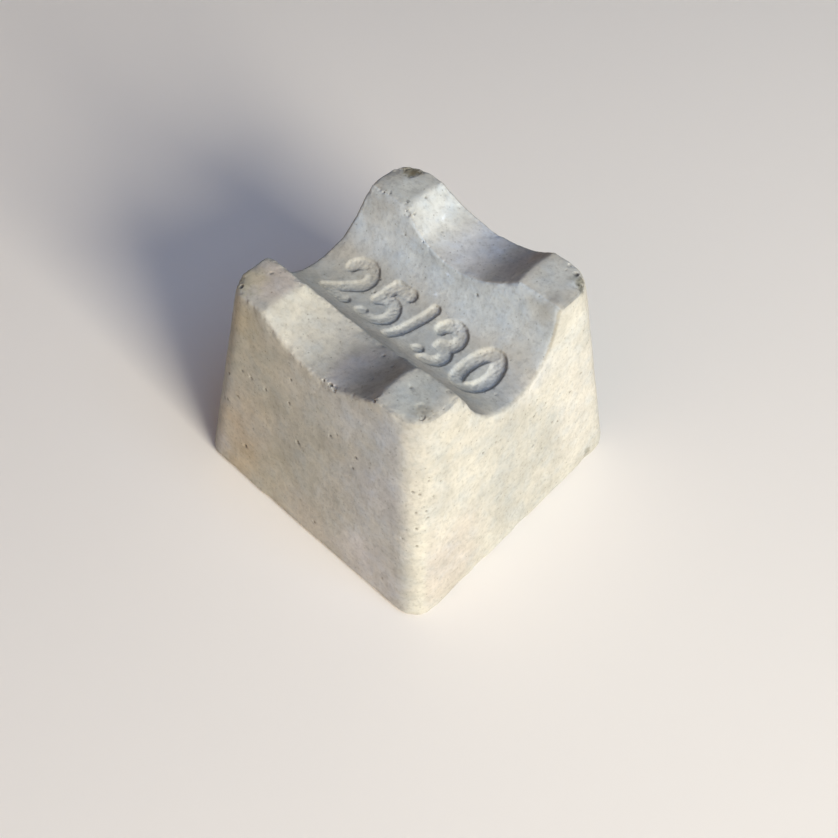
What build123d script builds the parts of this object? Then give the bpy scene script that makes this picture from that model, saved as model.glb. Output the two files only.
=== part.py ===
from build123d import *
import os
from math import atan2, cos, degrees, radians, sin, tan

# Concrete rebar spacer block: a square stump that tapers upwards, with two
# round-bottomed bar seats crossing on its top and leaving a horn at each corner.
# Millimetres, base centre at the origin, +Z up. The deep seat runs along X and
# the shallow seat along Y, so the block gives either of two concrete covers.

# Cover that each seat gives: the height of its lowest line above the foot.
deep_cover = 25.0
shallow_cover = 30.0

# Tapered body. Its widths are those of its flat sides, before edges are rounded.
block_height = 33.3
base_width = 41.7
top_width = 31.5
corner_radius = 3.6

# Seats. The deep one is a round trough whose walls lean out above its arc, and
# the shallow one is a single wide arc.
deep_seat_radius = 7.9
deep_wall_lean = 23.5
shallow_seat_radius = 14.3

# Soft edges, as cast mortar has when it leaves its mould.
crest_rounding = 0.6
foot_rounding = 0.8

# How far the seat cuts run past the body.
cut_margin = 5.0

side_taper = degrees(atan2((base_width - top_width) / 2, block_height))
cut_reach = base_width / 2 + cut_margin
cut_top = block_height + cut_margin
deep_axis_height = deep_cover + deep_seat_radius
shallow_axis_height = shallow_cover + shallow_seat_radius

# Where the deep seat's arc hands over to its leaning walls, and the walls' reach.
arc_end_y = deep_seat_radius * cos(radians(deep_wall_lean))
arc_end_z = deep_axis_height - deep_seat_radius * sin(radians(deep_wall_lean))
wall_top_y = arc_end_y + (cut_top - arc_end_z) * tan(radians(deep_wall_lean))

with BuildPart() as spacer_block:
    # Body, wider at the foot so that it leaves its mould.
    with BuildSketch(Plane.XY):
        Rectangle(base_width, base_width)
    extrude(amount=block_height, taper=side_taper)

    # Its four long corner lines, rounded before the seats shorten them.
    corner_lines = spacer_block.edges().filter_by(
        lambda edge: edge.bounding_box().size.Z > block_height / 2
    )
    fillet(corner_lines, radius=corner_radius)

    # Deep seat: trough arc and leaning walls, cut through along X.
    with BuildSketch(Plane.YZ):
        with BuildLine():
            arc = ThreePointArc(
                (-arc_end_y, arc_end_z), (0, deep_cover), (arc_end_y, arc_end_z)
            )
            Polyline(arc @ 1, (wall_top_y, cut_top), (-wall_top_y, cut_top), arc @ 0)
        make_face()
    extrude(amount=cut_reach, both=True, mode=Mode.SUBTRACT)

    # Shallow seat: one wide arc, cut through along Y.
    with BuildSketch(Plane.XZ):
        with Locations((0, shallow_axis_height)):
            Circle(shallow_seat_radius)
    extrude(amount=cut_reach, both=True, mode=Mode.SUBTRACT)

    # The flat foot has a small rounding all round.
    foot_edges = spacer_block.faces().sort_by(Axis.Z)[0].edges()
    fillet(foot_edges, radius=foot_rounding)

    # Every edge of the horns and seats is softly rounded. The long corner lines
    # start lower down, so they are left out.
    lowest_crest = deep_cover - crest_rounding
    crest_edges = spacer_block.edges().filter_by(
        lambda edge: edge.bounding_box().min.Z > lowest_crest
    )
    fillet(crest_edges, radius=crest_rounding)

spacer_block.part.label = "spacer_block"

os.makedirs("parts", exist_ok=True)
export_step(spacer_block.part, "parts/spacer_block.step")
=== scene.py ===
"""Looks of a cast concrete bar spacer: camera, floor, light, the block's relief and its mortar finish."""

import logging
import math
import random
from dataclasses import dataclass, field
from enum import Enum
from typing import Callable

import bmesh
import bpy
from mathutils import Matrix, Vector, noise
from mathutils.bvhtree import BVHTree
from mathutils.kdtree import KDTree


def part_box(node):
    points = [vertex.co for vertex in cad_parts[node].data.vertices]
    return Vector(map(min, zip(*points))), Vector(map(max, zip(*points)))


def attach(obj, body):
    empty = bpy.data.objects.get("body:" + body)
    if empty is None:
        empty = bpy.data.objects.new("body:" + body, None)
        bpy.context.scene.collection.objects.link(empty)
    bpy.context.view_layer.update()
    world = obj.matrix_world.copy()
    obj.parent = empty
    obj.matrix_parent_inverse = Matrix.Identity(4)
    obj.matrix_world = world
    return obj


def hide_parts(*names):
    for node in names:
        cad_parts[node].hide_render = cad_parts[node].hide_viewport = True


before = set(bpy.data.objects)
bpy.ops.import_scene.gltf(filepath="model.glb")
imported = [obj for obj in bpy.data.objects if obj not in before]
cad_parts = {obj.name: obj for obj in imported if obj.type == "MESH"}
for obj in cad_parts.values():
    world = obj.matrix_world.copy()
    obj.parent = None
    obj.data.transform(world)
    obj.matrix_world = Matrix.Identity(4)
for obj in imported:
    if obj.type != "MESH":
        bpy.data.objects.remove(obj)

logging.basicConfig(level=logging.INFO, format="%(message)s")
log = logging.getLogger("bar_spacer")

MILLIMETRE = 0.001
PER_METRE = 1 / MILLIMETRE
IMAGE_PIXELS = 838
SENSOR_WIDTH = 36.0
BLOCK_NODE = "spacer_block"


def linear(hex_colour: str) -> tuple[float, float, float, float]:
    """Turn an sRGB hex value into the linear colour that a shader socket takes.

    Args:
        hex_colour: six hex digits after a hash sign.

    Returns:
        Linear red, green and blue, and an alpha of one.
    """
    shades = [int(hex_colour[start : start + 2], 16) / 255 for start in (1, 3, 5)]
    return (*(s / 12.92 if s <= 0.04045 else ((s + 0.055) / 1.055) ** 2.4 for s in shades), 1.0)


def add_node(
    tree: bpy.types.NodeTree,
    kind: str,
    settings: dict[str, object] | None = None,
    inputs: dict[str | int, object] | None = None,
) -> bpy.types.Node:
    """Add a shader node, set its options and fill or link its sockets.

    Args:
        tree: node tree that takes the node.
        kind: the type of node, such as ShaderNodeBump.
        settings: options of the node itself, by name.
        inputs: for each socket, by name or place, its value or the output that feeds it.

    Returns:
        The new node.
    """
    node = tree.nodes.new(kind)
    for name, value in (settings or {}).items():
        setattr(node, name, value)
    for key, value in (inputs or {}).items():
        socket = node.inputs[key]
        if isinstance(value, bpy.types.NodeSocket):
            tree.links.new(value, socket)
        else:
            socket.default_value = value
    return node


def soft_step(low: float, high: float, value: float) -> float:
    """Ease from 0 at low to 1 at high.

    Args:
        low: value where the step starts.
        high: value where the step ends; it may be the smaller one.
        value: where the step is read.

    Returns:
        A number from 0 to 1.
    """
    share = min(max((value - low) / (high - low), 0.0), 1.0)
    return share * share * (3 - 2 * share)


@dataclass(frozen=True)
class Ripple:
    """A smooth random swell: its waves to the millimetre, where its pattern starts and how strong it is."""

    pitch: float
    start: tuple[float, float, float] = (0.0, 0.0, 0.0)
    strength: float = 1.0

    def at(self, spot: Vector) -> float:
        """Read the swell at a point in mm, from about minus its strength to plus its strength."""
        return self.strength * noise.noise(spot * self.pitch + Vector(self.start))


@dataclass
class PhotographView:
    """The camera, stood where the block's outline fits the photograph's.

    Angles in degrees, lengths in mm.
    """

    azimuth: float = 41.348
    elevation: float = 54.047
    roll: float = 1.830
    distance: float = 138.523
    target: tuple[float, float, float] = (4.204, -2.756, 12.0)
    focal_pixels: float = 1043.481
    nearest: float = 10.0
    farthest: float = 10000.0

    def axes(self) -> tuple[Vector, Vector, Vector]:
        """Work out where the view's right, its up and its back point.

        Returns:
            Three unit vectors.
        """
        turn, lift, roll = (math.radians(a) for a in (self.azimuth, self.elevation, self.roll))
        back = Vector((math.sin(turn) * math.cos(lift), -math.cos(turn) * math.cos(lift), math.sin(lift)))
        right = (-back).cross(Vector((0, 0, 1))).normalized()
        up = right.cross(-back)
        level_right, level_up = right.copy(), up.copy()
        right = math.cos(roll) * level_right + math.sin(roll) * level_up
        up = math.cos(roll) * level_up - math.sin(roll) * level_right
        return right, up, back

    def eye(self) -> Vector:
        """Give the camera's place in mm."""
        return Vector(self.target) + self.axes()[2] * self.distance

    def build(self) -> bpy.types.Object:
        """Make the camera and set it as the scene's own.

        Returns:
            The camera object.
        """
        lens = bpy.data.cameras.new("photograph_view")
        lens.sensor_width = SENSOR_WIDTH
        lens.lens = self.focal_pixels / IMAGE_PIXELS * SENSOR_WIDTH
        lens.clip_start = self.nearest * MILLIMETRE
        lens.clip_end = self.farthest * MILLIMETRE
        camera = bpy.data.objects.new("photograph_view", lens)
        right, up, back = self.axes()
        camera.matrix_world = Matrix.LocRotScale(
            self.eye() * MILLIMETRE, Matrix((right, up, back)).transposed().to_quaternion(), None
        )
        bpy.context.scene.collection.objects.link(camera)
        bpy.context.scene.camera = camera
        return camera


@dataclass(frozen=True)
class StudioCard:
    """Matt warm white card, rolled out as a backdrop: it gives the eye nothing but an even pale ground."""

    shade: str = "#F3EEE6"
    roughness: float = 0.9
    gloss: float = 0.1

    def material(self) -> bpy.types.Material:
        """Make the card's material.

        Returns:
            The material.
        """
        card = bpy.data.materials.new("matt_white_card_rolled")
        card.use_nodes = True
        shader = card.node_tree.nodes["Principled BSDF"]
        shader.inputs["Base Color"].default_value = linear(self.shade)
        shader.inputs["Roughness"].default_value = self.roughness
        shader.inputs["Specular IOR Level"].default_value = self.gloss
        return card


@dataclass
class StudioFloor:
    """A pale floor that sweeps up into a backdrop on all sides. Lengths in metres."""

    floor_radius: float = 1.1
    sweep_radius: float = 0.35
    wall_height: float = 1.3
    turns: int = 64
    sweep_steps: int = 10
    merge_distance: float = 1e-6
    finish: StudioCard = field(default_factory=StudioCard)

    def build(self) -> bpy.types.Object:
        """Spin the floor's profile about the upright axis.

        Returns:
            The floor object.
        """
        shape = bmesh.new()
        profile = [Vector((0.0, 0.0, 0.0)), Vector((self.floor_radius, 0.0, 0.0))]
        for step in range(1, self.sweep_steps + 1):
            angle = math.radians(90) * step / self.sweep_steps
            reach = self.floor_radius + self.sweep_radius * math.sin(angle)
            profile.append(Vector((reach, 0.0, self.sweep_radius * (1 - math.cos(angle)))))
        profile.append(Vector((self.floor_radius + self.sweep_radius, 0.0, self.wall_height)))
        points = [shape.verts.new(p) for p in profile]
        runs = [shape.edges.new(pair) for pair in zip(points, points[1:])]
        bmesh.ops.spin(
            shape,
            geom=points + runs,
            cent=(0, 0, 0),
            axis=(0, 0, 1),
            angle=math.radians(360),
            steps=self.turns,
            use_merge=True,
        )
        bmesh.ops.remove_doubles(shape, verts=shape.verts, dist=self.merge_distance)
        bmesh.ops.recalc_face_normals(shape, faces=shape.faces)
        if sum(face.normal.z for face in shape.faces) < 0:
            bmesh.ops.reverse_faces(shape, faces=shape.faces)
        mesh = bpy.data.meshes.new("studio_floor")
        shape.to_mesh(mesh)
        shape.free()
        mesh.shade_smooth()
        mesh.materials.append(self.finish.material())
        floor = bpy.data.objects.new("studio_floor", mesh)
        bpy.context.scene.collection.objects.link(floor)
        return floor


@dataclass
class SoftLamp:
    """A square soft box that looks at the block. Lengths in metres, power in watts."""

    name: str
    direction: tuple[float, float, float]
    distance: float
    side: float
    power: float
    colour: str

    def build(self, aim: Vector) -> bpy.types.Object:
        """Make the lamp and turn it to the block.

        Args:
            aim: the point that it looks at.

        Returns:
            The lamp object.
        """
        light = bpy.data.lights.new(self.name, "AREA")
        light.shape = "SQUARE"
        light.size = self.side
        light.energy = self.power
        light.color = linear(self.colour)[:3]
        lamp = bpy.data.objects.new(self.name, light)
        away = Vector(self.direction).normalized()
        turn = (-away).to_track_quat("-Z", "Y")
        lamp.matrix_world = Matrix.LocRotScale(aim + away * self.distance, turn, None)
        bpy.context.scene.collection.objects.link(lamp)
        return lamp


@dataclass
class StudioLight:
    """The soft light of the scene: a low key, a cool box overhead, a weak warm one and a dim even room."""

    aim: tuple[float, float, float] = (0.0, 0.0, 0.02)
    room_shade: str = "#E6ECF5"
    room_strength: float = 0.03
    lamps: tuple[SoftLamp, ...] = (
        SoftLamp("key_soft_box", (0.894, -0.190, 0.407), 0.65, 0.24, 5.6, "#FFF8E8"),
        SoftLamp("overhead_cool_box", (0.5, 0.0, 0.866), 0.75, 0.5, 2.0, "#A4CBFF"),
        SoftLamp("side_warm_box", (0.0, -0.707, 0.707), 0.75, 0.5, 0.52, "#FFC5B5"),
    )

    def build(self) -> list[bpy.types.Object]:
        """Make the lamps and the room's own dim light.

        Returns:
            The lamp objects.
        """
        room = bpy.data.worlds.new("dim_room")
        room.use_nodes = True
        sky = room.node_tree.nodes["Background"]
        sky.inputs["Color"].default_value = linear(self.room_shade)
        sky.inputs["Strength"].default_value = self.room_strength
        bpy.context.scene.world = room
        bpy.context.scene.view_settings.view_transform = "Standard"
        return [lamp.build(Vector(self.aim)) for lamp in self.lamps]


class Level(Enum):
    """Plane that a mark's place was read on, before it is carried along the view's ray to the block."""

    RIGHT_SIDE = "side facing +X: along +Y, then up the slope"
    LEFT_SIDE = "side facing -Y: along +X, then up the slope"
    CREST = "level of the horn tops: +X, then +Y"


@dataclass(frozen=True)
class Mark:
    """A small mark that the photograph shows. Its place and radius are in mm."""

    level: Level
    along: float
    up: float
    radius: float

    def point(self, block: "SpacerBlock") -> Vector:
        """Give the mark's place on its plane.

        Args:
            block: the block, which knows its own slopes.

        Returns:
            A point in mm.
        """
        if self.level is Level.CREST:
            return Vector((self.along, self.up, block.height))
        lean = math.atan2((block.base_width - block.top_width) / 2, block.height)
        reach = block.base_width / 2 - self.up * math.sin(lean)
        rise = self.up * math.cos(lean)
        if self.level is Level.RIGHT_SIDE:
            return Vector((reach, self.along, rise))
        return Vector((self.along, -reach, rise))


@dataclass(frozen=True)
class Stain:
    """A soft discoloured patch of the skin, with a ragged edge."""

    mark: Mark
    shade: str
    strength: float
    farthest: float = 1.5
    outer: float = 1.15
    inner: float = 0.35
    blotch: Ripple = Ripple(1.3, strength=0.55)
    speck: Ripple = Ripple(3.7, strength=0.4)

    def share(self, spot: Vector, place: Vector) -> float:
        """Tell how much of the stain lies at a point.

        Args:
            spot: the point in mm.
            place: the stain's middle.

        Returns:
            A number from 0 to the stain's strength.
        """
        gap = (spot - place).length / self.mark.radius
        if gap >= self.farthest:
            return 0.0
        ragged = gap + self.blotch.at(spot) + self.speck.at(spot)
        return self.strength * soft_step(self.outer, self.inner, ragged)


@dataclass(frozen=True)
class Scuff:
    """A shallow ragged hollow where a crumb of the skin came away with the mould. Its depth is in mm.

    Its wall runs from rim to floor_from, in parts of its radius, and ring is what its middle lacks in depth.
    """

    mark: Mark
    depth: float
    ring: float = 0.0
    floor_from: float = 0.75
    farthest: float = 1.7
    rim: float = 1.1
    steep_from: float = 0.5
    floor_level: float = 0.85
    middle_span: tuple[float, float] = (0.75, 0.35)
    outline: Ripple = Ripple(1.3, strength=0.40)
    crumb: Ripple = Ripple(3.1, strength=0.08)
    floor: Ripple = Ripple(1.8, strength=0.3)

    def steep(self) -> bool:
        """Tell whether the hollow has a steep wall, which needs finer faces."""
        return self.floor_from > self.steep_from

    def sink(self, spot: Vector, place: Vector) -> float:
        """Give how deep the hollow goes at a point.

        Args:
            spot: the point in mm.
            place: the hollow's middle.

        Returns:
            The depth in mm.
        """
        gap = (spot - place).length / self.mark.radius
        if gap > self.farthest:
            return 0.0
        ragged = gap + self.outline.at(spot) + self.crumb.at(spot)
        floor = self.floor_level + self.floor.at(spot)
        middle = 1 - self.ring * soft_step(*self.middle_span, ragged)
        return self.depth * floor * middle * soft_step(self.rim, self.floor_from, ragged)


class Facing(Enum):
    """Which way a part of the skin looks, for telling the block's sides and seats apart."""

    RIGHT = (0.99, 0.0, 0.15)
    LEFT = (0.0, -0.99, 0.15)
    UP = (0.0, 0.0, 1.0)
    LIT_SLOPE = (0.45, 0.0, 0.89)
    SHADED_SLOPE = (-0.45, 0.0, 0.89)
    SEAT_BACK = (0.0, -0.80, 0.60)
    SEAT_FRONT = (0.0, 0.7, 0.71)
    RIGHT_RIM = (0.68, 0.0, 0.73)
    SEAT_END_RIM = (0.66, -0.67, 0.34)
    LEFT_RIM = (0.0, -0.66, 0.75)
    CORNER_SHADED = (0.25, -0.96, 0.12)
    CORNER_LIT = (0.62, -0.77, 0.12)
    FAR_LEFT = (-0.99, 0.0, 0.15)
    FAR_RIGHT = (0.0, 0.99, 0.15)


@dataclass(frozen=True)
class SkinToneAndPaintedLight:
    """A wide soft patch, lighter, darker, warmer or cooler: in part the skin's own tone, in part painted
    light and shade for the side that it faces. Lengths in mm.
    """

    facing: Facing
    middle: tuple[float, float, float]
    reach: tuple[float, float, float]
    factor: tuple[float, float, float]
    outer: float = 1.2
    inner: float = 0.3
    drift: Ripple = Ripple(0.2, strength=0.35)

    def share(self, spot: Vector) -> float:
        """Tell how far a point belongs to the patch.

        Args:
            spot: the point in mm.

        Returns:
            A number from 0 outside to 1 at the middle.
        """
        gap = Vector([(s - m) / r for s, m, r in zip(spot, self.middle, self.reach)]).length
        return soft_step(self.outer, self.inner, gap + self.drift.at(spot))


@dataclass(frozen=True)
class Bow:
    """Part of an ellipse in a numeral. Lengths in mm on the unrolled seat, angles in degrees."""

    centre: tuple[float, float]
    radii: tuple[float, float]
    start: float
    turn: float
    point_gap: float = 0.25
    fewest: int = 4

    def points(self) -> list[Vector]:
        """Walk along the bow.

        Returns:
            Points about the point gap apart.
        """
        steps = max(int(abs(math.radians(self.turn)) * max(self.radii) / self.point_gap), self.fewest)
        angles = [math.radians(self.start + self.turn * step / steps) for step in range(steps + 1)]
        middle, (wide, high) = Vector(self.centre), self.radii
        return [middle + Vector((wide * math.cos(a), high * math.sin(a))) for a in angles]


@dataclass(frozen=True)
class Run:
    """A straight piece in a numeral, through its own corners. Lengths in mm on the unrolled seat."""

    corners: tuple[tuple[float, float], ...]

    def points(self) -> list[Vector]:
        """Give the corners as vectors."""
        return [Vector(corner) for corner in self.corners]


@dataclass(frozen=True)
class Numeral:
    """One plain number or sign: its strokes, half their width and how deep they go, in mm."""

    strokes: tuple[Bow | Run, ...]
    half_width: float
    depth: float

    def pieces(self, lean: float) -> list[tuple[Vector, Vector]]:
        """Turn the strokes into short straight pieces.

        Args:
            lean: how far the numeral leans along the seat for each millimetre across it.

        Returns:
            The two ends of each piece.
        """
        pieces = []
        for stroke in self.strokes:
            leaned = [Vector((p.x + p.y * lean, p.y)) for p in stroke.points()]
            pieces.extend(zip(leaned, leaned[1:]))
        return pieces


@dataclass
class CoverNumerals:
    """Plain rounded numbers sunk in the deep seat: the two covers that the block gives, with a bar between.

    Places are in mm on the seat as if it were rolled flat: along +X, then across from its lowest line.
    They grow fainter towards the seat's front, and a painted highlight, lighter and warmer, lies in their
    strokes.
    """

    fullness: float = 5.0
    lean: float = 0.07
    faint_from: float = -1.2
    faint_to: float = -4.6
    faintest: float = 0.45
    full_wall_shade: float = 0.5
    wall_shade_probe: float = 0.1
    wall_from: float = 0.6
    wall_to: float = 1.2
    painted_highlight: tuple[float, float, float] = (1.09, 1.08, 1.06)
    half_length: float = 16.0
    half_height: float = 6.0
    rim: Ripple = Ripple(1.7, (0.0, 0.0, 5.27), 0.09)
    crumb: Ripple = Ripple(4.1, (0.0, 0.0, 23.37), 0.07)
    grain: Ripple = Ripple(3.4, (0.0, 0.0, 28.56), 0.09)
    two: Numeral = Numeral(
        (
            Bow((-10.95, 1.65), (1.85, 1.8), 160.0, -196.0),
            Run(((-9.43, 0.62), (-12.3, -2.7), (-9.0, -2.9))),
        ),
        0.98,
        0.28,
    )
    five: Numeral = Numeral(
        (
            Run(((-3.35, 3.4), (-5.75, 3.4), (-6.35, 0.45))),
            Bow((-4.9, -0.95), (1.95, 2.15), 135.0, -262.0),
        ),
        0.95,
        0.32,
    )
    bar: Numeral = Numeral((Run(((0.5, 3.6), (-0.1, 0.9), (-0.75, -3.4))),), 0.84, 0.38)
    three: Numeral = Numeral(
        (
            Bow((4.52, 1.87), (1.58, 1.5), 165.0, -235.0),
            Run(((5.1, 0.42), (4.7, 0.3))),
            Bow((4.7, -1.45), (1.75, 1.7), 78.0, -158.0),
        ),
        0.98,
        0.40,
    )
    ball: Numeral = Numeral((Run(((3.2, -2.3), (3.3, -2.25))),), 0.85, 0.32)
    nought: Numeral = Numeral((Bow((10.9, 0.12), (1.75, 3.15), 0.0, 360.0),), 1.05, 0.40)
    pieces: list[tuple[Numeral, Vector, Vector]] = field(default_factory=list)

    def __post_init__(self) -> None:
        """Turn every numeral into short straight pieces."""
        for numeral in (self.two, self.five, self.bar, self.three, self.ball, self.nought):
            self.pieces.extend((numeral, start, end) for start, end in numeral.pieces(self.lean))

    def nearest(self, along: float, across: float) -> tuple[float, Numeral]:
        """Find the nearest stroke.

        Args:
            along: place along the seat.
            across: place across it.

        Returns:
            The distance from its middle line, in parts of half its width, and the numeral that it is in.
        """
        spot = Vector((along, across))
        least, found = math.inf, self.bar
        for numeral, start, end in self.pieces:
            run = end - start
            share = min(max((spot - start).dot(run) / run.length_squared, 0.0), 1.0)
            gap = (start + run * share - spot).length / numeral.half_width
            if gap < least:
                least, found = gap, numeral
        return least, found

    def wall_shade(self, along: float, across: float) -> float:
        """Tell how much painted shade lies on the wall of a stroke that looks away from the light.

        Args:
            along: place along the seat.
            across: place across it.

        Returns:
            A number from 0 to the full wall shade.
        """
        gap = self.nearest(along, across)[0]
        if not self.wall_from < gap < self.wall_to:
            return 0.0
        away = (self.nearest(along + self.wall_shade_probe, across)[0] - gap) / self.wall_shade_probe
        at_wall = soft_step(self.wall_from, 0.85, gap) * soft_step(self.wall_to, 1.0, gap)
        return self.full_wall_shade * soft_step(0.3, 0.9, away) * at_wall

    def pale(self, along: float, across: float) -> Vector:
        """Give the colour factors of the painted highlight in the strokes at a place.

        Args:
            along: place along the seat.
            across: place across it.

        Returns:
            Factors for red, green and blue; all are 1 outside the strokes.
        """
        share = soft_step(1.0, 0.7, self.nearest(along, across)[0])
        return Vector([1 + share * (factor - 1) for factor in self.painted_highlight])

    def sink(self, along: float, across: float) -> float:
        """Give how deep the numbers go at a place.

        Args:
            along: place along the seat.
            across: place across it.

        Returns:
            The depth in mm, with the ragged rim and grainy floor of a cast groove.
        """
        gap, numeral = self.nearest(along, across)
        spot = Vector((along, across, 0.0))
        share = gap + self.rim.at(spot) + self.crumb.at(spot)
        if share >= 1:
            return 0.0
        fade = self.faintest + (1 - self.faintest) * soft_step(self.faint_to, self.faint_from, across)
        depth = numeral.depth + self.grain.at(spot)
        return depth * fade * (1 - max(share, 0.0) ** self.fullness)


@dataclass(frozen=True)
class CastMortar:
    """Sand and cement mortar, cast in a mould and left as struck.

    It gives the eye a dull pale grey skin with soft clouds, fine sand grain, dark pinholes of painted shade
    and a few stains, and lays on the painted light and shade stored at the block's points.
    Sizes are in mm. Sand of 0.2 mm is too fine to show, so its grain is drawn at more than twice that.
    """

    pale: str = "#C6C2B6"
    grey: str = "#A9A69C"
    cool: str = "#B2B5B3"
    sand_dark: str = "#77736A"
    painted_shade_colour: str = "#625D50"
    cloud_size: float = 5.0
    patch_size: float = 2.4
    grain_size: float = 0.55
    mottle_size: float = 1.3
    mottle_strength: float = 0.07
    pinhole_spacing: float = 0.95
    pinhole_radius: float = 0.14
    pinhole_core: float = 0.4
    pinhole_shade: float = 0.45
    sand_height: float = 0.06
    patch_height: float = 0.20
    bump_strength: float = 0.5
    roughness: float = 0.9
    index: float = 1.5
    gloss: float = 0.35

    def material(self) -> bpy.types.Material:
        """Make the mortar's material.

        Returns:
            The material.
        """
        mortar = bpy.data.materials.new("sand_cement_mortar_cast")
        mortar.use_nodes = True
        tree = mortar.node_tree
        shader = tree.nodes["Principled BSDF"]
        place = add_node(tree, "ShaderNodeTexCoord").outputs["Object"]

        mottling = {"To Min": 1 - self.mottle_strength, "To Max": 1 + self.mottle_strength}
        patterns = {}
        shares = {}
        for name, size, detail, rough, spread in (
            ("cloud", self.cloud_size, 4.0, 0.55, {"From Min": 0.3, "From Max": 0.7, "To Min": 0.2}),
            ("patch", self.patch_size, 3.0, 0.6, {"From Min": 0.45, "From Max": 0.75, "To Max": 0.7}),
            ("grain", self.grain_size, 3.0, 0.65, {"From Min": 0.48, "From Max": 0.75, "To Max": 0.36}),
            ("mottle", self.mottle_size, 2.0, 0.6, {"From Min": 0.3, "From Max": 0.7, **mottling}),
        ):
            looks = {"Vector": place, "Scale": PER_METRE / size, "Detail": detail, "Roughness": rough}
            patterns[name] = add_node(tree, "ShaderNodeTexNoise", inputs=looks).outputs["Fac"]
            spread["Value"] = patterns[name]
            shares[name] = add_node(tree, "ShaderNodeMapRange", inputs=spread).outputs["Result"]

        # Pinholes too small to model: dark dots of painted shade.
        holes = {"Vector": place, "Scale": PER_METRE / self.pinhole_spacing}
        pinhole = add_node(tree, "ShaderNodeTexVoronoi", inputs=holes)
        rim = self.pinhole_radius / self.pinhole_spacing
        pricked = {
            "Value": pinhole.outputs["Distance"],
            "From Min": rim * self.pinhole_core,
            "From Max": rim,
            "To Min": self.pinhole_shade,
            "To Max": 0.0,
        }
        shares["pinhole"] = add_node(tree, "ShaderNodeMapRange", inputs=pricked).outputs["Result"]

        stain = add_node(tree, "ShaderNodeAttribute", {"attribute_name": "stain"}).outputs["Color"]
        hollow = add_node(tree, "ShaderNodeAttribute", {"attribute_name": "hollow"}).outputs["Fac"]
        # Layers over the grey, lowest first. The sockets of a mix share their names, so they go by place.
        colour = linear(self.grey)
        for blend, share, shade in (
            ("MIX", shares["cloud"], linear(self.pale)),
            ("MIX", shares["patch"], linear(self.cool)),
            ("MULTIPLY", 1.0, shares["mottle"]),
            ("MIX", shares["grain"], linear(self.sand_dark)),
            ("MIX", shares["pinhole"], linear(self.painted_shade_colour)),
            # Stains, together with the painted light and shade of the tones and the numbers' painted
            # highlight.
            ("MULTIPLY", 1.0, stain),
            # Painted shade in the pits, the numbers' grooves and their walls that look away from the light.
            ("MIX", hollow, linear(self.painted_shade_colour)),
        ):
            options = {"data_type": "RGBA", "blend_type": blend}
            colour = add_node(tree, "ShaderNodeMix", options, {0: share, 6: colour, 7: shade}).outputs[2]
        tree.links.new(colour, shader.inputs["Base Color"])

        relief = {"Height": patterns["grain"], "Distance": self.sand_height * MILLIMETRE}
        sand = add_node(tree, "ShaderNodeBump", inputs={"Strength": self.bump_strength, **relief})
        relief = {"Height": patterns["patch"], "Distance": self.patch_height * MILLIMETRE}
        relief["Normal"] = sand.outputs["Normal"]
        patches = add_node(tree, "ShaderNodeBump", inputs={"Strength": self.bump_strength, **relief})
        tree.links.new(patches.outputs["Normal"], shader.inputs["Normal"])
        shader.inputs["Roughness"].default_value = self.roughness
        shader.inputs["IOR"].default_value = self.index
        shader.inputs["Specular IOR Level"].default_value = self.gloss
        return mortar


# The pits that the photograph shows, by the plane of their mark: along, up, and radius in mm.
RIGHT_PITS = (
    (-18.3, 19, 0.26), (-16.2, 19, 0.25), (-16.3, 20.4, 0.24), (-18.6, 15.9, 0.25),
    (-18, 25.7, 0.24), (-17, 24.2, 0.25), (-15.3, 25, 0.20), (-13.4, 23.2, 0.24),
    (-14.9, 21.8, 0.18), (-6.1, 21.4, 0.26), (-3.8, 21.2, 0.22), (-3, 20.9, 0.18),
    (-3.6, 22.2, 0.16), (3.5, 19.5, 0.25), (5.8, 20, 0.25), (13.1, 19.5, 0.24),
    (10.8, 17.8, 0.24), (10.9, 19.7, 0.19), (3.2, 14.1, 0.26), (4.9, 12, 0.24),
    (8.2, 14.5, 0.22), (14.2, 24, 0.22),
)
LEFT_PITS = (
    (-11, 21.3, 0.26), (-8.3, 21.4, 0.25), (-4.1, 22.3, 0.25), (-2.2, 16.6, 0.34),
    (-15.2, 19, 0.29), (-13.5, 16, 0.24), (-12, 7.4, 0.36), (1.6, 3.8, 0.26),
    (3.1, 22.4, 0.24), (7.4, 22.2, 0.24), (7.1, 20, 0.22), (2.4, 30.8, 0.34),
    (-4, 26.5, 0.24), (1.3, 30.6, 0.20), (16, 14.8, 0.22),
)
CREST_PITS = (
    (-14.1, -14.6, 0.41), (13.4, 14.6, 0.41), (-13.3, 8.8, 0.25), (-12.5, 9.3, 0.24),
    (-8.6, 11.8, 0.26), (-7.6, 8.6, 0.22), (-8.8, 8.2, 0.22), (-13, -10.7, 0.25),
    (10.8, -11.8, 0.22), (9.2, -16, 0.26), (0.2, -10.2, 0.22), (5.5, -10.6, 0.26),
    (7.3, -11, 0.24), (12.2, 14.2, 0.19), (15.4, -11.4, 0.20),
)


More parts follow.
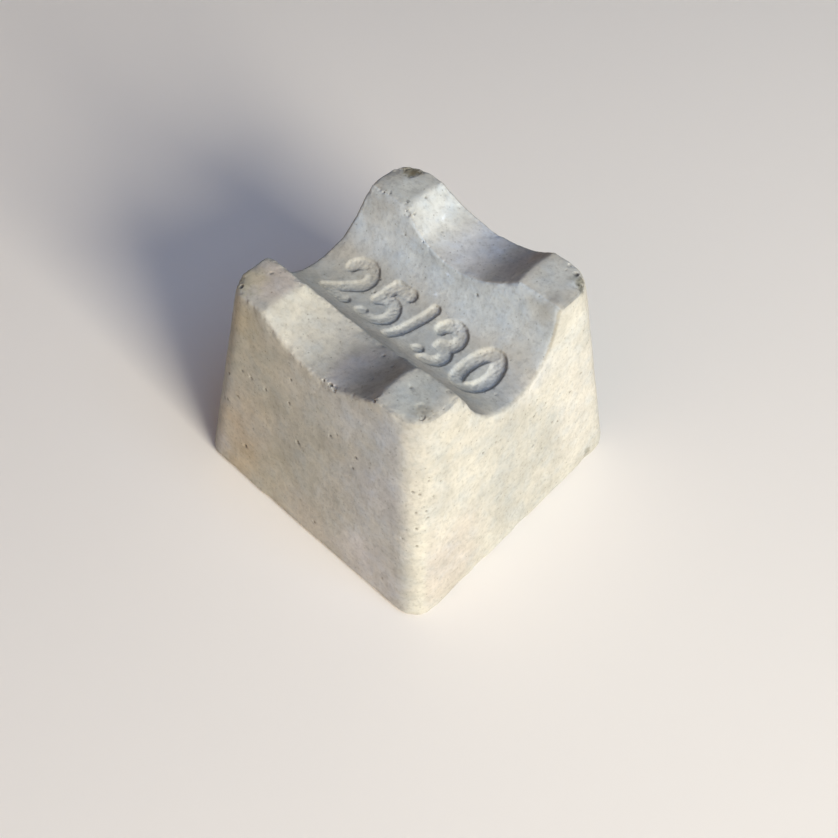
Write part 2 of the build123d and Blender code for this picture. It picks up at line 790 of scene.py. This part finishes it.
@dataclass
class AirPits:
    """Small holes that air bubbles left against the mould. Lengths in mm."""

    seed: int = 2530
    extra: int = 170
    smallest: float = 0.09
    largest: float = 0.25
    seen_spread: float = 3.0
    unseen_spread: float = 1.6
    unseen_largest: float = 0.36
    unseen_from: float = 15.0
    depth_share: float = 0.62
    margin: float = 0.30
    inner_reach: float = 12.0
    far_off: float = 90.0
    foot_zone: float = 0.5
    foot_thinning: float = 0.3
    find_reach: float = 0.6
    wall_power: float = 2.4
    raggedness: float = 0.25
    outline_pitch: float = 2.9
    places: list[Vector] = field(default_factory=list)
    radii: list[float] = field(default_factory=list)
    tree: KDTree | None = None

    def find(self, block: "SpacerBlock", eye: Vector, body: BVHTree) -> None:
        """Settle where every pit lies: the seen ones along the view's rays, and more all round by chance.

        Args:
            block: the block, which knows its slopes.
            eye: the camera's place.
            body: the plain casting's surface.
        """
        marks = [Mark(Level.RIGHT_SIDE, *pit) for pit in RIGHT_PITS]
        marks += [Mark(Level.LEFT_SIDE, *pit) for pit in LEFT_PITS]
        marks += [Mark(Level.CREST, *pit) for pit in CREST_PITS]
        for mark in marks:
            hit = body.ray_cast(eye, (mark.point(block) - eye).normalized())[0]
            if hit is not None:
                self.places.append(hit)
                self.radii.append(mark.radius)
        chance = random.Random(self.seed)
        heart = Vector((0, 0, block.height / 2))
        while len(self.places) < len(marks) + self.extra:
            way = Vector([chance.gauss(0, 1) for _ in range(3)]).normalized()
            inner = heart + Vector([chance.uniform(-self.inner_reach, self.inner_reach) for _ in range(3)])
            hit = body.ray_cast(inner + way * self.far_off, -way)[0]
            if hit is None or hit.z < self.foot_zone and chance.random() < self.foot_thinning:
                continue
            unseen = max(-hit.x, hit.y) > self.unseen_from
            spread = self.unseen_spread if unseen else self.seen_spread
            most = self.unseen_largest if unseen else self.largest
            size = self.smallest + (most - self.smallest) * chance.random() ** spread
            self.places.append(hit)
            self.radii.append(size)
        self.tree = KDTree(len(self.places))
        for number, place in enumerate(self.places):
            self.tree.insert(place, number)
        self.tree.balance()

    def near(self, spot: Vector) -> bool:
        """Tell whether a place is close enough to a pit to need finer faces."""
        found = self.tree.find(spot)
        return found[2] < self.radii[found[1]] + self.margin

    def sink(self, spot: Vector) -> float:
        """Give how deep the pits go at a place.

        Args:
            spot: a point on the casting's skin.

        Returns:
            The depth in mm.
        """
        deepest = 0.0
        for _, number, gap in self.tree.find_range(spot, self.find_reach):
            outline = Ripple(self.outline_pitch, (number, 0.0, 0.0), self.raggedness)
            share = gap / (self.radii[number] * (1 + outline.at(spot)))
            if share < 1:
                deepest = max(deepest, self.radii[number] * self.depth_share * (1 - share**self.wall_power))
        return deepest


# The skin's changes of tone, by side: middle, reach, and factors for red, green and blue. Besides the skin's
# own soft changes of tone, many rows are painted light and shade: a cool sheen on the seats and lit slopes,
# darker shaded slopes and rims, and a darker and a lighter face at the front corner.
SKIN_TONES_AND_PAINTED_LIGHT = {
    Facing.RIGHT: (
        ((20, 0, 14), (6, 9, 12), (0.88, 0.89, 0.90)), ((20, -14, 7), (6, 8, 9), (0.99, 0.94, 0.93)),
        ((20, 13, 14), (6, 6, 18), (1.05, 1.05, 1.07)), ((17.5, 11, 27), (5, 5, 5), (1.05, 1.06, 1.07)),
        ((17.5, 3, 26), (4, 5, 4), (1, 1.02, 1.08)), ((19, -14, 8), (5, 5, 5), (1.02, 1.03, 1.05)),
        ((18, -13, 27), (5, 5, 5), (0.96, 0.95, 0.93)),
    ),
    Facing.LEFT: (
        ((-13, -19, 26), (12, 6, 10), (0.92, 0.91, 0.86)), ((-13, -20, 13), (6, 5, 7), (1, 0.95, 0.90)),
        ((13, -19, 14), (9, 6, 18), (1.06, 1.09, 1.19)), ((12, -18, 27), (7, 5, 7), (1.03, 1.09, 1.20)),
        ((0, -19, 16), (5, 6, 14), (0.94, 0.95, 0.95)), ((-15, -20, 6), (7, 6, 8), (1.06, 0.98, 0.89)),
        ((-8, -20.5, 3), (8, 6, 8), (1.05, 1.02, 0.95)), ((2, -18, 26), (6, 5, 5), (1.04, 1.06, 1.10)),
        ((-19, -19.5, 5), (3, 5, 8), (1, 1.04, 1.12)), ((-11, -19, 17), (5, 4, 4), (1.02, 0.99, 0.94)),
        ((-4, -18.5, 17), (4, 4, 4), (0.91, 0.91, 0.91)),
        ((7, -18.5, 17.5), (2.5, 3, 3), (0.92, 0.92, 0.92)),
        ((-5, -19.7, 10), (3, 4, 4), (0.96, 0.94, 0.89)), ((3, -19.5, 11), (2.5, 3, 4), (1.07, 1.07, 1.09)),
        ((13, -18.5, 19), (4, 4, 5), (0.99, 1.01, 1.08)), ((-14.5, -16, 30), (5, 4, 4), (1.04, 0.99, 0.90)),
        ((-16.5, -20.3, 5), (2.2, 3, 2.6), (0.98, 1.01, 1.10)),
        ((9, -17, 29.5), (8, 4, 3), (0.99, 1.02, 1.09)), ((0, -20.5, 3), (6, 6, 6), (1.05, 1.02, 1.02)),
        ((13, -20.5, 3), (8, 6, 7), (1.15, 1.13, 1.18)),
    ),
    # Painted shade and painted light on the rounded front corner.
    Facing.CORNER_SHADED: (((18, -19, 18), (6, 6, 24), (0.88, 0.90, 0.94)),),
    Facing.CORNER_LIT: (((19, -19, 12), (6, 6, 24), (1.12, 1.12, 1.10)),),
    # Painted shade on the rims: above the lit side, at the deep seat's end and above the left side.
    Facing.RIGHT_RIM: (
        ((16, 0, 29), (4, 11, 6), (0.72, 0.74, 0.77)), ((16.5, 11, 32), (4, 4.5, 3), (0.58, 0.60, 0.64)),
        ((16.5, -10.5, 32), (4, 5, 3), (0.60, 0.62, 0.66)),
    ),
    Facing.SEAT_END_RIM: (((15.8, 8, 29.5), (3, 3, 5), (0.74, 0.73, 0.70)),),
    Facing.LEFT_RIM: (((12.5, -16, 32.5), (4.5, 3, 3), (0.84, 0.86, 0.89)),),
    Facing.FAR_LEFT: (
        ((-18, 8, 10), (6, 9, 12), (1.07, 1.03, 0.96)), ((-17, -9, 22), (6, 8, 9), (0.93, 0.92, 0.90)),
    ),
    Facing.FAR_RIGHT: (
        ((-7, 18, 14), (9, 6, 10), (0.92, 0.91, 0.88)), ((11, 19, 8), (8, 6, 9), (1.06, 1.04, 1)),
    ),
    # Painted cool light on the deep seat's back wall, and painted shade at its rim near the end.
    Facing.SEAT_BACK: (
        ((0, 8, 29.5), (32, 6, 8), (1.19, 1.35, 1.59)),
        ((14, 8.8, 31.3), (4.5, 2, 2.2), (0.87, 0.84, 0.80)),
        ((-11, 8.4, 30), (6, 5, 5), (1.06, 1.04, 1.02)),
    ),
    # Upward faces: mostly painted light and shade, cool on the seats' floors and brighter or darker on the
    # horn tops.
    Facing.UP: (
        ((-12, 0, 25), (7, 5, 3), (1.04, 1, 0.94)), ((14, 2, 26), (5, 5, 4), (1.01, 1.03, 1.08)),
        ((11.1, 0.1, 25), (0.9, 2.4, 1.2), (1.14, 1.13, 1.08)),
        ((14.6, 10.6, 33.2), (2.4, 2.4, 1.5), (0.86, 0.86, 0.87)),
        ((2.5, 2.5, 25.5), (2.2, 2.2, 2.5), (1.15, 1.15, 1.12)),
        ((7, 4.8, 26.4), (12, 1.8, 2), (1, 1.04, 1.14)),
        ((0.5, 7.4, 29.4), (4, 1.8, 1.8), (1.10, 1.11, 1.12)),
        ((0, 0, 25), (24, 5, 2.4), (0.92, 0.97, 1.05)), ((0.5, 13, 30), (7, 9, 2.5), (1.21, 1.29, 1.50)),
        ((3, 10, 30.3), (3, 3, 1.5), (1.03, 0.99, 0.94)),
        ((-3, -13.5, 30.3), (2.5, 4, 1.5), (1.09, 1.09, 1.07)),
        ((3.5, -13, 30.3), (3, 6, 1.5), (0.97, 0.96, 1.04)),
        ((-11, 11.5, 33.2), (4, 5, 1.6), (1.10, 1.16, 1.22)),
        ((12.5, 12, 33.3), (3.2, 4, 1.5), (1.11, 1.17, 1.25)),
        ((-12, -11.5, 33.3), (3.4, 4, 1.5), (1.20, 1.11, 1.10)),
        ((12, -12, 33.2), (3.4, 3.8, 1.5), (0.94, 1.01, 1.08)),
    ),
    # Painted light on the lit slopes of the shallow seat.
    Facing.LIT_SLOPE: (
        ((-10, -8.5, 32.3), (3, 2, 1.5), (1.12, 1.12, 1.10)),
        ((-7, 13, 31.5), (6.5, 9, 3.5), (1.28, 1.37, 1.50)),
        ((-7, -13, 31.5), (4.5, 6, 3), (1.09, 1.08, 1.05)),
    ),
    Facing.SEAT_FRONT: (((3, -5.5, 27), (24, 3, 3), (0.92, 0.89, 0.88)),),
    # Painted shade on the shaded slopes of the shallow seat.
    Facing.SHADED_SLOPE: (
        ((6.8, 13, 31.2), (3.6, 6, 2.6), (0.92, 0.87, 0.87)),
        ((6.8, -13, 31.2), (3.6, 6, 2.6), (0.81, 0.77, 0.72)),
        ((8.5, 15, 32), (2.5, 3, 2), (1.06, 0.98, 0.90)),
    ),
}


@dataclass
class SpacerBlock:
    """The block, cast in one pour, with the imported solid's shape and its own relief. Lengths in mm."""

    eye: Vector
    name: str = "spacer_block_cast"
    height: float = 33.3
    base_width: float = 41.7
    top_width: float = 31.5
    seat_radius: float = 7.9
    seat_floor: float = 25.0
    seat_slack: float = 0.3
    merge_distance: float = 0.002
    face_size: float = 0.6
    edge_bend: float = 0.45
    wave: float = 0.10
    wave_level: float = 0.5
    slow: Ripple = Ripple(0.16, strength=0.35)
    quick: Ripple = Ripple(0.55, (7.0, 3.0, 1.0), 0.3)
    edge_width: float = 1.2
    wear: float = 0.22
    bite: Ripple = Ripple(0.45, (11.0, 5.0, 2.0))
    bitten: tuple[float, float] = (-0.1, 0.65)
    crumb: Ripple = Ripple(1.2, (1.0, 9.0, 4.0))
    crumb_part: float = 0.15
    grit: float = 0.05
    grit_reach: tuple[float, float] = (1.0, 0.3)
    grain: Ripple = Ripple(2.4, (2.0, 8.0, 6.0))
    calm: float = 0.8
    calm_from: tuple[float, float] = (5.0, 7.0)
    calm_to: tuple[float, float] = (11.5, 10.0)
    calm_side: tuple[float, float] = (-1.0, 1.5)
    rim_level: float = 31.6
    rim_reach: float = 1.5
    slope_from: float = 6.5
    slope_to: float = 12.0
    slope_outside: float = 10.2
    rim_rounds: int = 13
    edge_reach: float = 0.7
    fine_level: float = 29.5
    fine_reach: float = 0.6
    even_rounds: int = 2
    numeral_rings: tuple[float, ...] = (1.7, 1.25)
    lip: float = 0.17
    lip_level: float = 31.0
    lip_from: float = 6.0
    lip_lean: float = -0.12
    lip_inner: tuple[float, float] = (9.0, 11.0)
    lip_outer: tuple[float, float] = (15.6, 13.2)
    lip_rise: tuple[float, float] = (6.8, 8.8)
    pit_shade: float = 4.0
    most_pit_shade: float = 0.65
    groove_shade: float = 0.10
    large_stain: float = 1.6
    scuff_ring: float = 1.3
    stain_ring: float = 1.2
    facing_power: float = 24.0
    least_turned: float = 0.15
    numerals: CoverNumerals = field(default_factory=CoverNumerals)
    pits: AirPits = field(default_factory=AirPits)
    finish: CastMortar = field(default_factory=CastMortar)
    scuffs: tuple[Scuff, ...] = (
        Scuff(Mark(Level.CREST, 13.5, -13.0, 0.75), 0.14, 0.5),
        Scuff(Mark(Level.CREST, 14.3, -13.8, 0.5), 0.12),
        Scuff(Mark(Level.RIGHT_SIDE, -8.0, 29.4, 0.42), 0.22),
        Scuff(Mark(Level.CREST, -13.2, 14.2, 1.2), 0.18),
        Scuff(Mark(Level.CREST, 15.0, 13.4, 0.8), 0.16),
        Scuff(Mark(Level.CREST, 13.1, 9.3, 1.3), 0.12, 0.0, 0.0),
        Scuff(Mark(Level.CREST, 3.2, 5.3, 1.2), 0.06, 0.0, 0.1),
        Scuff(Mark(Level.CREST, 11.9, 15.0, 0.4), 0.12),
        Scuff(Mark(Level.LEFT_SIDE, 3.0, 30.6, 0.5), 0.12),
    )
    stains: tuple[Stain, ...] = (
        Stain(Mark(Level.CREST, -13.6, 14.2, 1.5), "#6E6446", 0.70),
        Stain(Mark(Level.CREST, -12.6, 14.6, 1.0), "#85744C", 0.60),
        Stain(Mark(Level.CREST, 14.4, 14.0, 1.0), "#6A6652", 0.70),
        Stain(Mark(Level.CREST, 15.3, 13.2, 0.8), "#6A6652", 0.65),
        Stain(Mark(Level.CREST, 13.8, -13.3, 1.3), "#A0947E", 0.50),
        Stain(Mark(Level.CREST, -14.0, -13.0, 2.6), "#B3AE8E", 0.60),
        Stain(Mark(Level.RIGHT_SIDE, 15.0, 2.0, 0.9), "#8F8A7A", 0.70),
        Stain(Mark(Level.CREST, 2.3, 3.7, 0.32), "#F1F0EC", 0.70),
        Stain(Mark(Level.CREST, 3.5, 0.3, 0.28), "#F1F0EC", 0.60),
        Stain(Mark(Level.CREST, -4.4, 10.4, 0.32), "#E9E9E5", 0.50),
        Stain(Mark(Level.LEFT_SIDE, -11.1, 21.4, 0.36), "#E6E3DA", 0.60),
    )
    tones_and_painted_light: tuple[SkinToneAndPaintedLight, ...] = tuple(
        SkinToneAndPaintedLight(facing, *row) for facing, rows in SKIN_TONES_AND_PAINTED_LIGHT.items() for row in rows
    )
    broken: list[tuple[Scuff, Vector]] = field(default_factory=list)
    small_marks: list[tuple[Vector, float]] = field(default_factory=list)

    def place_marks(self, body: BVHTree) -> None:
        """Settle where the pits, scuffs and small stains lie.

        Args:
            body: the plain casting's surface.
        """
        self.pits.find(self, self.eye, body)
        self.broken = [(s, p) for s in self.scuffs if (p := self.on_skin(s.mark, body)) is not None]
        steep = [(scuff, place) for scuff, place in self.broken if scuff.steep()]
        self.small_marks = [(place, scuff.mark.radius * self.scuff_ring) for scuff, place in steep]
        for stain in self.stains:
            place = self.on_skin(stain.mark, body)
            if place is not None and stain.mark.radius < self.large_stain:
                self.small_marks.append((place, stain.mark.radius * self.stain_ring))

    def surface(self) -> tuple[bpy.types.Mesh, BVHTree]:
        """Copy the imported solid, merge its loose triangles and cover it with even faces.

        Returns:
            The even mesh in metres, and the plain casting's surface in mm for finding points on it.
        """
        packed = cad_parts[BLOCK_NODE]
        plain = bmesh.new()
        plain.from_mesh(packed.data)
        bmesh.ops.remove_doubles(plain, verts=plain.verts, dist=self.merge_distance * MILLIMETRE)
        bmesh.ops.recalc_face_normals(plain, faces=plain.faces)
        mesh = bpy.data.meshes.new("plain_casting")
        plain.to_mesh(mesh)
        bmesh.ops.scale(plain, vec=(PER_METRE,) * 3, verts=plain.verts)
        body = BVHTree.FromBMesh(plain)
        plain.free()
        casting = bpy.data.objects.new("plain_casting", mesh)
        bpy.context.scene.collection.objects.link(casting)
        remesh = casting.modifiers.new("even_faces", "REMESH")
        remesh.mode = "VOXEL"
        remesh.voxel_size = self.face_size * MILLIMETRE
        remesh.adaptivity = 0.0
        seen = casting.evaluated_get(bpy.context.evaluated_depsgraph_get())
        even = bpy.data.meshes.new_from_object(seen)
        bpy.data.objects.remove(casting)
        return even, body

    def numeral_place(self, spot: Vector) -> tuple[float, float] | None:
        """Unroll a point on the deep seat.

        Args:
            spot: the point in mm.

        Returns:
            Its place along the seat and across it, or None where no number can reach it.
        """
        rise = self.seat_floor + self.seat_radius - spot.z
        across = math.atan2(spot.y, rise) * self.seat_radius
        off = math.hypot(spot.y, rise) - self.seat_radius
        inside = abs(spot.x) < self.numerals.half_length and abs(across) < self.numerals.half_height
        return (spot.x, across) if inside and abs(off) < self.seat_slack else None

    def refine(
        self, shape: bmesh.types.BMesh, wanted: Callable[[Vector], bool]
    ) -> list[bmesh.types.BMVert]:
        """Halve the faces round the places that need it.

        Args:
            shape: the mesh in mm.
            wanted: tells whether an edge with that middle is halved.

        Returns:
            The new points.
        """
        edges = [e for e in shape.edges if wanted((e.verts[0].co + e.verts[1].co) / 2)]
        made = bmesh.ops.subdivide_edges(shape, edges=edges, cuts=1, use_grid_fill=True)
        return [item for item in made["geom_inner"] if isinstance(item, bmesh.types.BMVert)]

    def smooth(self, shape: bmesh.types.BMesh, verts: list[bmesh.types.BMVert], rounds: int) -> None:
        """Ease some points towards their neighbours.

        Args:
            shape: the mesh in mm.
            verts: the points that may move.
            rounds: how many times they move.
        """
        for _ in range(rounds):
            bmesh.ops.smooth_vert(
                shape, verts=verts, factor=0.5, use_axis_x=True, use_axis_y=True, use_axis_z=True
            )

    def on_skin(self, mark: Mark, body: BVHTree) -> Vector | None:
        """Carry a mark along the view's ray to the block.

        Args:
            mark: the mark, as the photograph shows it.
            body: the plain casting's surface.

        Returns:
            Its place in mm, or None where the ray misses.
        """
        return body.ray_cast(self.eye, (mark.point(self) - self.eye).normalized())[0]

    def soften_rims(self, shape: bmesh.types.BMesh, edges: KDTree) -> None:
        """Round the rims of the horn tops further than the plain casting's, but not the shallow seat's.

        Args:
            shape: the mesh in mm.
            edges: the points on the block's rounded edges.
        """
        rims = [
            v
            for v in shape.verts
            if v.co.z > self.rim_level
            and not (self.slope_from < abs(v.co.x) < self.slope_to and abs(v.co.y) > self.slope_outside)
            and edges.find(v.co)[2] < self.rim_reach
        ]
        self.smooth(shape, rims, self.rim_rounds)

    def even_out(self, shape: bmesh.types.BMesh, edges: KDTree) -> None:
        """Take the facets out of the finer faces on the upper rims.

        Args:
            shape: the mesh in mm.
            edges: the points on the block's rounded edges.
        """
        reach = self.edge_reach
        fine = [v for v in shape.verts if v.co.z > self.fine_level and edges.find(v.co)[2] < reach]
        self.smooth(shape, fine, self.even_rounds)

    def bend(self, vert: bmesh.types.BMVert) -> float:
        """Measure how strongly the surface bends outwards at a point, in parts of a millimetre."""
        around = [e.other_vert(vert).co for e in vert.link_edges]
        middle = sum(around, Vector()) / len(around)
        reach = sum((p - vert.co).length_squared for p in around) / len(around)
        return 2 * (vert.co - middle).dot(vert.normal) / max(reach, 1e-9)

    def edge_tree(self, shape: bmesh.types.BMesh) -> KDTree:
        """Collect the points on the block's rounded edges.

        Args:
            shape: the mesh in mm.

        Returns:
            A tree of those points.
        """
        shape.normal_update()
        edge = [v.co.copy() for v in shape.verts if self.bend(v) > self.edge_bend]
        tree = KDTree(len(edge))
        for number, place in enumerate(edge):
            tree.insert(place, number)
        tree.balance()
        return tree

    def detailed(self, spot: Vector, ring: float) -> bool:
        """Tell whether a point needs finer faces: near a pit, a small mark or the stroke of a number.

        Args:
            spot: the point in mm.
            ring: how far a stroke counts as near, in parts of half its width.

        Returns:
            True where the faces are to be finer.
        """
        place = self.numeral_place(spot)
        if place is not None and self.numerals.nearest(*place)[0] < ring:
            return True
        return self.pits.near(spot) or any((spot - mark).length < reach for mark, reach in self.small_marks)

    def raised(self, vert: bmesh.types.BMVert) -> float:
        """Give how far the shallow seat's shaded rims stand proud at a point.

        Args:
            vert: the point, in mm.

        Returns:
            The height in mm.
        """
        spot = vert.co
        if spot.z <= self.lip_level or spot.x <= self.lip_from or vert.normal.x >= self.lip_lean:
            return 0.0
        inside = soft_step(*self.lip_inner, abs(spot.y)) * soft_step(*self.lip_outer, abs(spot.y))
        return self.lip * inside * soft_step(*self.lip_rise, spot.x)

    def worn(self, spot: Vector, gap: float) -> float:
        """Give how much the block's edges have lost at a point; behind the deep seat they have lost less.

        Args:
            spot: the point in mm.
            gap: how far it is from the nearest edge.

        Returns:
            The depth in mm.
        """
        if gap >= self.edge_width:
            return 0.0
        crumbs = self.crumb_part * soft_step(0.0, 0.7, self.crumb.at(spot))
        chew = soft_step(*self.bitten, self.bite.at(spot)) + crumbs
        behind = soft_step(*self.calm_from, spot.y) * soft_step(*self.calm_to, spot.y)
        rough = 1 - self.calm * behind * soft_step(*self.calm_side, spot.x)
        wear = self.wear * chew * soft_step(self.edge_width, 0.1, gap)
        grit = self.grit * soft_step(0.05, 0.6, self.grain.at(spot)) * soft_step(*self.grit_reach, gap)
        return rough * (wear + grit)

    def carve(self, shape: bmesh.types.BMesh, edges: KDTree) -> None:
        """Move every point inwards by the relief: waves, worn edges, numbers and air pits, and store painted
        shade for the pits, the grooves and the strokes' shaded walls.

        Args:
            shape: the mesh in mm.
            edges: the points on the block's rounded edges.
        """
        shape.normal_update()
        hollow = shape.verts.layers.float.new("hollow")
        moves = []
        for vert in shape.verts:
            spot = vert.co
            depth = self.wave * (self.wave_level + self.slow.at(spot) + self.quick.at(spot))
            depth += self.worn(spot, edges.find(spot)[2]) - self.raised(vert)
            painted_shade = 0.0
            place = self.numeral_place(spot)
            if place is not None:
                groove = self.numerals.sink(*place)
                depth += groove
                painted_shade = max(self.groove_shade * groove, self.numerals.wall_shade(*place))
            depth += sum(scuff.sink(spot, middle) for scuff, middle in self.broken)
            pit = self.pits.sink(spot)
            depth += pit
            # Painted shade: darker the deeper a pit or groove goes, and on stroke walls that look away from
            # the light.
            vert[hollow] = max(painted_shade, min(pit * self.pit_shade, self.most_pit_shade))
            moves.append((vert, vert.normal * -depth))
        for vert, move in moves:
            vert.co += move

    def tone_and_painted_light(self, vert: bmesh.types.BMVert) -> Vector:
        """Give the soft change of colour at a point: the skin's own tone with painted light and shade,
        weighted by which way the point faces.

        Args:
            vert: the point, in mm.

        Returns:
            Factors for red, green and blue.
        """
        shares = [(patch, patch.share(vert.co)) for patch in self.tones_and_painted_light]
        reached = dict.fromkeys(patch.facing for patch, share in shares if share > 0)
        turned = {f: max(vert.normal.dot(Vector(f.value)), 0.0) ** self.facing_power for f in reached}
        total = max(sum(turned.values()), self.least_turned)
        tint = Vector((1.0, 1.0, 1.0))
        for patch, share in shares:
            if share > 0:
                share *= turned[patch.facing] / total
                tint = Vector([t * (1 + share * (f - 1)) for t, f in zip(tint, patch.factor)])
        return tint

    def paint_stains_and_light(self, shape: bmesh.types.BMesh, body: BVHTree) -> None:
        """Paint the stains, the tones with their painted light and shade, and the numbers' painted highlight
        as a colour that the finish multiplies in.

        Args:
            shape: the mesh in mm.
            body: the plain casting's surface.
        """
        # The stain attribute holds the real stains together with painted light and shade and the numbers'
        # painted highlight.
        stain_and_painted_light_layer = shape.verts.layers.float_color.new("stain")
        white = linear(self.finish.pale)
        patches = []
        for stain in self.stains:
            place = self.on_skin(stain.mark, body)
            if place is not None:
                patches.append((stain, place, [s / w for s, w in zip(linear(stain.shade)[:3], white)]))
        shape.normal_update()
        for vert in shape.verts:
            tint = self.tone_and_painted_light(vert)
            place = self.numeral_place(vert.co)
            if place is not None:
                tint *= self.numerals.pale(*place)
            for stain, middle, ratio in patches:
                share = stain.share(vert.co, middle)
                if share > 0:
                    tint = Vector([t * (1 - share + share * r) for t, r in zip(tint, ratio)])
            vert[stain_and_painted_light_layer] = (*tint, 1.0)

    def build(self) -> bpy.types.Object:
        """Make the block's visible piece.

        Returns:
            The block object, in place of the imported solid.
        """
        even, body = self.surface()
        self.place_marks(body)
        shape = bmesh.new()
        shape.from_mesh(even)
        bpy.data.meshes.remove(even)
        bmesh.ops.scale(shape, vec=(PER_METRE,) * 3, verts=shape.verts)
        for vert in shape.verts:
            vert.co = body.find_nearest(vert.co)[0]
        edges = self.edge_tree(shape)
        for vert in self.refine(shape, lambda p: edges.find(p)[2] < self.edge_reach):
            vert.co = body.find_nearest(vert.co)[0]
        self.soften_rims(shape, edges)
        self.refine(shape, lambda p: p.z > self.fine_level and edges.find(p)[2] < self.fine_reach)
        self.even_out(shape, edges)
        for ring in self.numeral_rings:
            self.refine(shape, lambda p: self.detailed(p, ring))
        self.paint_stains_and_light(shape, body)
        self.carve(shape, edges)
        low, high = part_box(BLOCK_NODE)
        for vert in shape.verts:
            for axis in range(3):
                vert.co[axis] = min(max(vert.co[axis], low[axis] * PER_METRE), high[axis] * PER_METRE)
        bmesh.ops.scale(shape, vec=(MILLIMETRE,) * 3, verts=shape.verts)
        mesh = bpy.data.meshes.new(self.name)
        shape.to_mesh(mesh)
        shape.free()
        mesh.shade_smooth()
        piece = bpy.data.objects.new(self.name, mesh)
        bpy.context.scene.collection.objects.link(piece)
        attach(piece, "root")
        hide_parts(BLOCK_NODE)
        return piece

    def dress(self, piece: bpy.types.Object) -> None:
        """Give the block its mortar finish."""
        piece.data.materials.clear()
        piece.data.materials.append(self.finish.material())


def corners(box: tuple[Vector, Vector]) -> list[list[float]]:
    """Turn a box's two corners into plain lists of numbers."""
    return [[float(value) for value in corner] for corner in box]


def main() -> None:
    """Build the scene in order and note each piece."""
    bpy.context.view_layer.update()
    view = PhotographView()
    view.build()
    log.info("camera: lens %.2f mm", view.focal_pixels / IMAGE_PIXELS * SENSOR_WIDTH)
    floor = StudioFloor().build()
    log.info("%s: pale sweep", floor.name)
    for lamp in StudioLight().build():
        log.info("%s: %.1f W", lamp.name, lamp.data.energy)
    block = SpacerBlock(eye=view.eye())
    piece = block.build()
    block.dress(piece)
    triangles = sum(len(face.vertices) - 2 for face in piece.data.polygons)
    log.info("%s: %d triangles, %d air pits", piece.name, triangles, len(block.pits.places))


if __name__ == "__main__":
    main()
